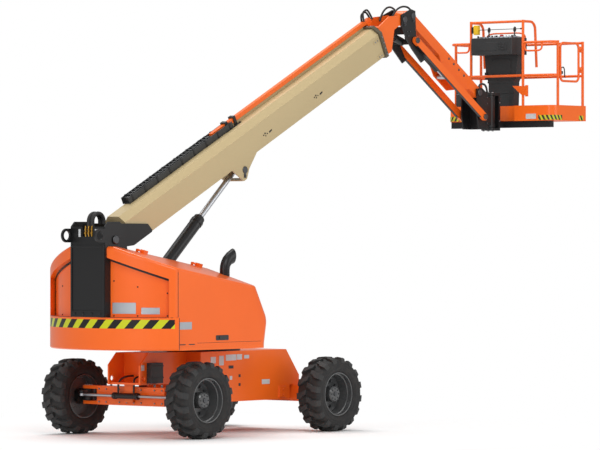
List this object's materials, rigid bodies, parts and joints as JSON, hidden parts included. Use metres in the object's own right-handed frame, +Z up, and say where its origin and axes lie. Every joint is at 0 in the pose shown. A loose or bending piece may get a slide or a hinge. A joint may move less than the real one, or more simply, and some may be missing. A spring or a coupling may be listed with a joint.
{
  "type": "telescopic boom lift",
  "caption": "Self-propelled telescopic boom lift: wheeled chassis, slewing turntable with counterweight, raised boom, jib and caged work platform.",
  "frame": {"origin": "on the ground under the swing axis, midway between the axles", "axes": "+X towards the boom tip, +Y left, +Z up"},
  "size_m": [9.225, 2.395, 5.463],
  "materials": {
    "orange_paint": "gloss powder coat",
    "orange_plate": "gloss powder coat on light plate",
    "orange_cover": "gloss moulded cover",
    "cream_paint": "satin enamel",
    "black_paint": "satin black",
    "rim_paint": "dark grey enamel",
    "weight_iron": "painted casting",
    "cylinder_steel": "ground rod",
    "engine_metal": "plain",
    "black_plastic": "grained",
    "hose_rubber": "matte",
    "tyre_rubber": "matte"
  },
  "bodies": {
    "chassis": {"chassis_frame": "orange_paint", "steer_axle_beam": "orange_paint", "drive_axle": "orange_paint", "swing_bearing": "black_paint", "steer_cylinder_barrel": "black_paint", "chassis_box": "black_plastic"},
    "steering_rod": {"steer_rod": "cylinder_steel"},
    "steering_left": {"steer_knuckle_left": "black_paint"},
    "steering_right": {"steer_knuckle_right": "black_paint"},
    "wheel_steer_left": {"tyre_steer_left": "tyre_rubber", "rim_steer_left": "rim_paint"},
    "wheel_steer_right": {"tyre_steer_right": "tyre_rubber", "rim_steer_right": "rim_paint"},
    "wheel_drive_left": {"tyre_drive_left": "tyre_rubber", "rim_drive_left": "rim_paint"},
    "wheel_drive_right": {"tyre_drive_right": "tyre_rubber", "rim_drive_right": "rim_paint"},
    "turntable": {"turntable_frame": "orange_paint", "counterweight": "weight_iron", "uprights": "black_paint", "rear_cowl_left": "orange_cover", "rear_cowl_right": "orange_cover", "engine_block": "engine_metal", "tank_block": "black_plastic", "tail_hose_loop": "hose_rubber"},
    "lid_left": {"hood_left": "orange_cover"},
    "lid_right": {"hood_right": "orange_cover", "exhaust_stack": "black_paint"},
    "boom": {"base_boom": "cream_paint", "boom_tail": "black_paint", "boom_collar": "black_paint", "carrier_tray": "black_plastic"},
    "fly": {"fly_boom": "orange_paint", "fly_nose": "orange_paint", "carrier_push_tube": "orange_plate", "tip_hoses": "hose_rubber"},
    "lift_cylinder_rod": {"lift_rod": "cylinder_steel"},
    "lift_cylinder_barrel": {"lift_barrel": "black_paint"},
    "jib_base": {"jib_knuckle": "black_paint"},
    "jib": {"jib_upper_arm": "orange_paint", "jib_cylinder_rod": "cylinder_steel"},
    "jib_barrel": {"jib_cylinder_barrel": "black_paint"},
    "jib_links": {"jib_lower_links": "orange_paint"},
    "support": {"platform_support": "black_paint"},
    "platform": {"platform_floor": "orange_plate", "platform_mount": "black_paint", "platform_rails": "orange_plate", "guard_arch": "orange_plate", "control_console": "black_plastic", "document_box": "black_plastic"},
    "gate": {"platform_gate": "orange_plate"}
  },
  "joints": [
    {"name": "swing", "type": "hinge", "parent": "chassis", "child": "turntable", "pos_m": [0, 0, 1.08], "axis": [0, 0, 1], "continuous": true},
    {"name": "boom_lift", "type": "hinge", "parent": "turntable", "child": "boom", "pos_m": [-1.95, 0, 2.42], "axis": [0, -1, 0], "range_deg": [-34.6, 45.4]},
    {"name": "telescope", "type": "slide", "parent": "boom", "child": "fly", "axis": [0.8942, 0, 0.4478], "range_m": [0, 4.1]},
    {"name": "lift_rod_turn", "type": "hinge", "parent": "boom", "child": "lift_cylinder_rod", "pos_m": [0.60529, 0, 3.29586], "axis": [0, -1, 0], "range_deg": [-5.9, 4.5]},
    {"name": "lift_stroke", "type": "slide", "parent": "lift_cylinder_rod", "child": "lift_cylinder_barrel", "axis": [-0.744, 0, -0.6682], "range_m": [-0.59493, 0.78059]},
    {"name": "level", "type": "hinge", "parent": "fly", "child": "jib_base", "pos_m": [3.86, 0, 5.32], "axis": [0, -1, 0], "range_deg": [-45.4, 34.6]},
    {"name": "jib_lift", "type": "hinge", "parent": "jib_base", "child": "jib", "pos_m": [4.04, 0, 5.378], "axis": [0, 1, 0], "range_deg": [-103.5, 26.5]},
    {"name": "jib_stroke", "type": "slide", "parent": "jib", "child": "jib_barrel", "axis": [-0.8323, 0, 0.5543], "range_m": [-0.1111, 0.43364]},
    {"name": "link_turn", "type": "hinge", "parent": "jib_base", "child": "jib_links", "pos_m": [4.065, 0, 5.05], "axis": [0, 1, 0], "range_deg": [-103.5, 26.5]},
    {"name": "platform_level", "type": "hinge", "parent": "jib", "child": "support", "pos_m": [5.529, 0, 4.395], "axis": [0, 1, 0], "range_deg": [-26.5, 103.5]},
    {"name": "platform_rotate", "type": "hinge", "parent": "support", "child": "platform", "pos_m": [5.9, 0, 4.1], "axis": [0, 0, 1], "range_deg": [-90, 90]},
    {"name": "gate_swing", "type": "hinge", "parent": "platform", "child": "gate", "pos_m": [6.835, -0.8737, 4.8], "axis": [0, 0, -1], "range_deg": [0, 90]},
    {"name": "lid_left_open", "type": "hinge", "parent": "turntable", "child": "lid_left", "pos_m": [-1.65, 0.318, 2.306], "axis": [0.9866, 0, -0.1632], "range_deg": [0, 60]},
    {"name": "lid_right_open", "type": "hinge", "parent": "turntable", "child": "lid_right", "pos_m": [-1.65, -0.318, 2.306], "axis": [-0.9866, 0, 0.1632], "range_deg": [0, 60]},
    {"name": "steer_left", "type": "hinge", "parent": "chassis", "child": "steering_left", "pos_m": [-1.25, 0.8, 0.47], "axis": [0, 0, 1], "range_deg": [-35, 35]},
    {"name": "steer_right", "type": "hinge", "parent": "chassis", "child": "steering_right", "pos_m": [-1.25, -0.8, 0.47], "axis": [0, 0, 1], "range_deg": [-35, 35]},
    {"name": "steer_stroke", "type": "slide", "parent": "chassis", "child": "steering_rod", "axis": [0, -1, 0], "range_m": [-0.10883, 0.10883]},
    {"name": "roll_steer_left", "type": "hinge", "parent": "steering_left", "child": "wheel_steer_left", "pos_m": [-1.25, 1.02, 0.47], "axis": [0, 1, 0], "continuous": true},
    {"name": "roll_steer_right", "type": "hinge", "parent": "steering_right", "child": "wheel_steer_right", "pos_m": [-1.25, -1.02, 0.47], "axis": [0, 1, 0], "continuous": true},
    {"name": "roll_drive_left", "type": "hinge", "parent": "chassis", "child": "wheel_drive_left", "pos_m": [1.25, 1.02, 0.47], "axis": [0, 1, 0], "continuous": true},
    {"name": "roll_drive_right", "type": "hinge", "parent": "chassis", "child": "wheel_drive_right", "pos_m": [1.25, -1.02, 0.47], "axis": [0, 1, 0], "continuous": true}
  ],
  "couplings": [
    {"joint": "lift_rod_turn", "follows": "boom_lift", "ratio": -0.13},
    {"joint": "lift_stroke", "follows": "boom_lift", "m_per_rad": 0.985},
    {"joint": "level", "follows": "boom_lift", "ratio": -1},
    {"joint": "jib_stroke", "follows": "jib_lift", "m_per_rad": -0.24},
    {"joint": "link_turn", "follows": "jib_lift", "ratio": 1},
    {"joint": "platform_level", "follows": "jib_lift", "ratio": -1},
    {"joint": "steer_right", "follows": "steer_left", "ratio": 1},
    {"joint": "steer_stroke", "follows": "steer_left", "m_per_rad": 0.178}
  ]
}
